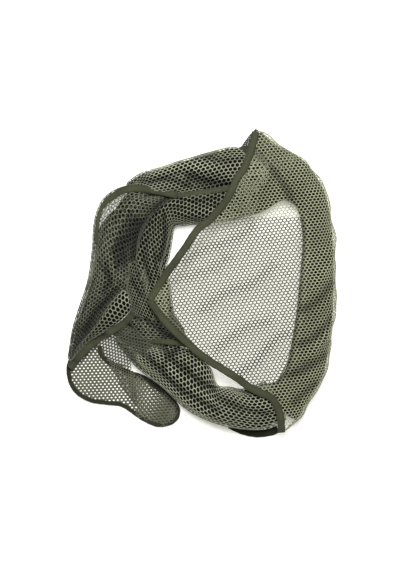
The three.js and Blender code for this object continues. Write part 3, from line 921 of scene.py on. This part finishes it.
# Painted shade for the face cloth's yarn: darker down in its folds, darker low where it turns down,
# and darker in bands where it hangs over the opening.
def face_painted_shade(x, y, z):
    open_ = 1 - smooth(past_opening(x, y), -2, 4)
    painted_fold_shade = 0.97 + np.clip(face_folds(x, y) / 5, -0.5, 0.1)
    inside = 0.26 + 0.15 * face_waves(x, y)
    return np.clip((painted_fold_shade * (1 - open_) + inside * open_) * (0.35 + 0.65 * smooth(z, 8, 34)), 0.05, 1)


def face_hole(p, q):
    """The cloth is slack in the opening, and drawn wider open where it goes over the rolls."""
    over_rolls = smooth(past_opening(p, q), 1, 8)
    return 0.68 + 0.1 * over_rolls + 0.06 * (1 - over_rolls) * np.clip(face_waves(p, q), -1, 0)


face_net = net("face_cloth", face_place, (-66, -180), (205, 186), keep=face_keep, turn=0.13,
               tone=face_painted_shade, hole=face_hole)
finish_piece(face_net, net_light, body=None, stands=["face_panel", "face_side"], slot="net_single")


def face_z(x, y, t):
    return face_place(np.minimum(x, fold_x(y) + 1), y)[:, 2] + 0.5


upper_tape, upper_stitch = tape("face_upper_tape", face_upper, face_z)
lower_tape, lower_stitch = tape("face_lower_tape", face_lower, face_z)
for obj, mat, stands in ((face_net, None, ()), (upper_tape, tape_lit, ["tape_face_upper"]),
                         (lower_tape, tape_lit, ["tape_face_lower"]),
                         (upper_stitch, thread, ()), (lower_stitch, thread, ())):
    if mat is not None:
        finish_piece(obj, mat, body=None, stands=stands, slot="edge_tape" if stands else None)
    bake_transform(obj)


# ---- tail ----
def tail_z(x, y, t=None):
    """Flat on the table, with low swells and a rise where it slips under the strip."""
    return (1.7 + 0.5 * np.sin(x / 13.0 + y / 19.0) + 0.4 * np.sin(x / 29.0 - y / 11.0 + 1)
            + 3.2 * smooth(x, -150, -100) * smooth(y, -112, -84))


tail_run = tail_edge(np.linspace(0, 1, 260))
tail_ring = np.vstack([tail_run, diagonal(np.linspace(0.5, 1, 30))])


def pleat_x(y):
    return np.interp(y, [-150, -120, -92], [-78, -88, -103])


def tail_place(x, y):
    return np.stack([x, y, tail_z(x, y)], 1)


pleat_in = inside_of(np.array([(-112, -91), (-98, -96), (-82, -106), (-78, -128), (-77, -150),
                               (-88, -134), (-99, -116)], float))


def pleat_place(x, y):
    across = (x - pleat_x(y)) / 9
    return np.stack([x, y, tail_z(x, y) + 2 + 4 * np.exp(-across**2)], 1)


def lobe_place(x, y):
    return np.stack([x, y, tail_z(x, y) + 1.9 + 0.5 * np.sin(x / 7)], 1)


tail_in = inside_of(tail_ring)
# The tail's nets wear a dark copy of the net colour: painted shade.
add("tail_net", net("tail_net", tail_place, (-166, -176), (-22, -70), keep=tail_in, turn=0.05,
                    row=4.9, rows=3.4, hole=0.46), net_tail, body=None,
    stands=["tail_end"], slot="net_single")
add("tail_pleat_net", net("tail_pleat_net", pleat_place, (-112, -152), (-76, -88), keep=pleat_in,
                          turn=0.6, row=3.4, rows=2.6, hole=0.5), net_tail, body=None,
    stands=["tail_pleat"], slot="net_single")
add("tail_lobe_net", net("tail_lobe_net", lobe_place, (-100, -176), (-22, -100),
                         keep=lambda x, y: tail_in(x, y) & (x > pleat_x(y) + 2), turn=0.12,
                         row=4.9, rows=3.4, hole=0.52), net_tail, body=None, stands=["tail_lobe"],
    slot="net_single")
tail_tape, tail_stitch = tape("tail_tape", tail_edge, lambda x, y, t: tail_z(x, y) + 0.9, thick=2.2,
                              width=lambda t: (5.2 + 1.8 * smooth(t, 0.45, 0.6)
                                               - 1.2 * smooth(t, 0.8, 1)))
finish_piece(tail_tape, tape_shade, body=None, stands=["tape_tail", "tape_tail_corner"],
             slot="edge_tape_shaded")
finish_piece(tail_stitch, thread, body=None)
for obj in (pieces["tail_net"], pieces["tail_lobe_net"], pieces["tail_pleat_net"], tail_tape,
            tail_stitch):
    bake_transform(obj)

# ---- tapes that stay ----
left_rim = spline([
    (-27, 107.6), (-36, 109.3), (-52.8, 112.6), (-70.8, 115.5), (-80, 116), (-94, 113),
    (-106, 105), (-115.6, 96), (-120.6, 84), (-123, 70), (-124.5, 50)])
left_tape, left_stitch = tape("left_tape", left_rim,
                              resting(left_rim, [left_roll, far_roll, bend_roll]),
                              width=lambda t: 9 - 5 * smooth(t, 0.45, 0.8))
finish_piece(left_tape, tape_lit, stands=["tape_left_lay"], slot="edge_tape")
finish_piece(left_stitch, thread)
crease = spline([(52, 116.5), (39.6, 116), (15.6, 113), (-9.6, 109), (-27, 107)])
crease_tape, crease_stitch = tape("crease_tape", crease,
                                  resting(crease, [bend_roll, far_roll]), width=6.5)
finish_piece(crease_tape, tape_lit, stands=["tape_crease"], slot="edge_tape")
finish_piece(crease_stitch, thread)
diag_tape, diag_stitch = tape("diagonal_tape", diagonal,
                              resting(diagonal, [strip_roll, cross_roll]),
                              lo=0.06, width=8.2)
finish_piece(diag_tape, tape_lit, stands=["tape_diagonal"], slot="edge_tape")
finish_piece(diag_stitch, thread)
cross_tape, cross_stitch = tape("cross_tape", cross_edge,
                                resting(cross_edge, [cross_roll, near_roll]),
                                width=6.5)
finish_piece(cross_tape, tape_lit, stands=["tape_cross"], slot="edge_tape")
finish_piece(cross_stitch, thread)
under_tape, under_stitch = tape("under_tape", under_edge, lambda x, y, t: np.full(len(x), 2.2))
finish_piece(under_tape, tape_shade, stands=["tape_under"], slot="edge_tape_shaded")
finish_piece(under_stitch, thread)

under_run = under_edge(np.linspace(0, 1, 60))
under_net = net("under_net", lambda x, y: np.stack([x, y, 2.6 + 0 * x], 1), (38, -181), (93, -158),
                keep=lambda x, y: y > np.interp(x, under_run[:, 0], under_run[:, 1]) + 1)
finish_piece(under_net, net_roll, stands=["under_lay"], slot="net_deep")

peak_rim = spline([(47, 163, 26), (51, 168.5, 30), (58.5, 178.5, 36), (67, 187, 43)])
peak_foot = spline([(54, 152, 36), (60, 162, 38), (65, 172, 41), (69.5, 183, 43)])


def peak_place(u, v):
    """u runs along the rim from the roll to the peak, v from under the tape out to the rim."""
    along = np.clip(u / 30, 0, 1)
    foot = peak_foot(along)
    return foot + (peak_rim(along) - foot) * np.clip(v / 12, 0, 1)[:, None]


# The peak's fold is a dense net in the darkest copy of the net colour: painted shade.
peak_net = net("peak_net", peak_place, (0, 0), (30, 12), row=2.4, rows=1.9, hole=0.25)
finish_piece(peak_net, net_deep, stands=["peak_fold"], slot="net_deep")

# ---- the net pieces' sizes and the tapes that go with them, worked out and not kept ----
nets = [o for o in bpy.context.scene.objects if o.name.endswith("_net") or o.name == "face_cloth"]
going = {
    "face_cloth": [upper_tape, lower_tape, upper_stitch, lower_stitch],
    "tail_net": [tail_tape, tail_stitch],
    "left_lay_net": [left_tape, left_stitch],
    "bend_roll_net": [crease_tape, crease_stitch],
    "strip_net": [diag_tape, diag_stitch],
    "cross_lay_net": [cross_tape, cross_stitch],
    "under_net": [under_tape, under_stitch],
}
for obj in nets:
    length = obj["cloth_length"]
    wide = obj["cloth_area"] / length
    round(wide * MM, 4)
    round(length * MM, 4)
    obj["cloth_area"] * MM * MM * obj["yarn_share"]
    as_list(going.get(obj.name, []))

# ---- room, light, camera ----
floor_mesh = bpy.data.meshes.new("floor")
floor_mesh.from_pydata([(x * FLOOR_SIZE, y * FLOOR_SIZE, 0) for x, y in
                        ((-1, -1), (1, -1), (1, 1), (-1, 1))], [], [(0, 1, 2, 3)])
floor = bpy.data.objects.new("floor", floor_mesh)
bpy.context.scene.collection.objects.link(floor)
pale = Look("floor")
pale.set("Base Color", (0.93, 0.93, 0.87, 1))
pale.set("Roughness", 0.9)
pale.set("Emission Color", (1, 1, 0.92, 1))
pale.set("Emission Strength", 0.36)
floor_mesh.materials.append(pale.material)

scene = bpy.context.scene
world = bpy.data.worlds.new("studio")
scene.world = world
world.use_nodes = True
world.node_tree.nodes["Background"].inputs[0].default_value = (1, 1, 1, 1)
world.node_tree.nodes["Background"].inputs[1].default_value = 0.2
scene.view_settings.view_transform = "Standard"

lamp_data = bpy.data.lights.new("top_light", "AREA")
lamp_data.size, lamp_data.energy = 0.8, 46
lamp = bpy.data.objects.new("top_light", lamp_data)
lamp.location = (0.05, 0.55, 1.7)
lamp.rotation_euler = (-Vector(lamp.location)).to_track_quat("-Z", "Y").to_euler()
scene.collection.objects.link(lamp)

camera_data = bpy.data.cameras.new("camera")
camera = bpy.data.objects.new("camera", camera_data)
scene.collection.objects.link(camera)
scene.camera = camera
camera_data.lens = 85
camera_data.sensor_width = 36
DISTANCE = 1.615
camera.location = (0, 0, DISTANCE + 0.03)
camera.rotation_euler = (0, 0, 0)
